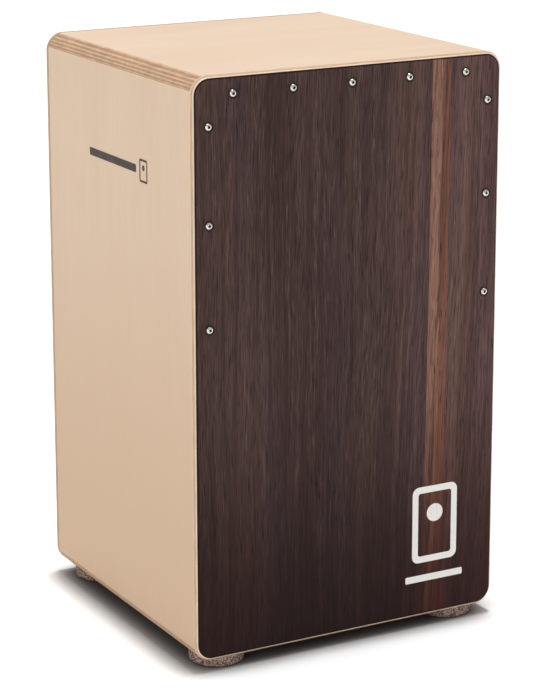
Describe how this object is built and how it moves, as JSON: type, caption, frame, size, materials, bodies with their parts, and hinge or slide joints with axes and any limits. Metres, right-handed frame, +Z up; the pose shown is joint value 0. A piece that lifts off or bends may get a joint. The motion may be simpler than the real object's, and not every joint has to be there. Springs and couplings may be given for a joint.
{
  "type": "cajon",
  "caption": "Plywood box drum to sit on, with a dark front playing face, a round sound hole in the back and snares on a bar that lifts out and swings clear.",
  "frame": {"origin": "on the floor, under the middle of the bounding box", "axes": "+Z up, -Y out of the playing face, +Y out of the back with its sound hole, +X to the right as seen from the front"},
  "size_m": [0.298, 0.2879, 0.51],
  "materials": {
    "birch_ply": "satin clear lacquer",
    "back_ply": "satin clear lacquer",
    "tapa_ply": "satin clear lacquer",
    "dark_oak": "satin clear lacquer over smoked veneer",
    "nickel": "nickel plated",
    "cork_rubber": "matt bonded granulate",
    "spruce": "planed, unfinished",
    "beech": "planed, unfinished",
    "steel": "bright drawn",
    "white_print": "screen-printed ink",
    "dark_print": "screen-printed ink"
  },
  "bodies": {
    "box": {"top_panel": "birch_ply", "bottom_panel": "birch_ply", "left_panel": "birch_ply", "right_panel": "birch_ply", "back_panel": "back_ply", "tapa_core": "tapa_ply", "tapa_veneer": "dark_oak", "tapa_screw_01": "nickel", "tapa_screw_02": "nickel", "tapa_screw_03": "nickel", "tapa_screw_04": "nickel", "tapa_screw_05": "nickel", "tapa_screw_06": "nickel", "tapa_screw_07": "nickel", "tapa_screw_08": "nickel", "tapa_screw_09": "nickel", "tapa_screw_10": "nickel", "tapa_screw_11": "nickel", "foot_front_left": "cork_rubber", "foot_front_right": "cork_rubber", "foot_back_left": "cork_rubber", "foot_back_right": "cork_rubber", "batten_top": "spruce", "batten_bottom": "spruce", "batten_left": "spruce", "batten_right": "spruce", "cleat_left": "beech", "cleat_right": "beech", "cleat_screw_left_front": "steel", "cleat_screw_left_back": "steel", "cleat_screw_right_front": "steel", "cleat_screw_right_back": "steel"},
    "bar_pins": {"bar_pin_left": "steel", "bar_pin_right": "steel"},
    "snares": {"snare_bar": "beech", "snare_left": "steel", "snare_right": "steel", "snare_screw_left_inner": "steel", "snare_screw_left_outer": "steel", "snare_screw_right_inner": "steel", "snare_screw_right_outer": "steel"}
  },
  "joints": [
    {"name": "bar_lift", "type": "slide", "parent": "box", "child": "bar_pins", "axis": [0, 0, 1], "range_m": [0, 0.026]},
    {"name": "snare_swing", "type": "hinge", "parent": "bar_pins", "child": "snares", "pos_m": [0, -0.0945, 0.328], "axis": [-1, 0, 0], "range_deg": [0, 200]}
  ]
}
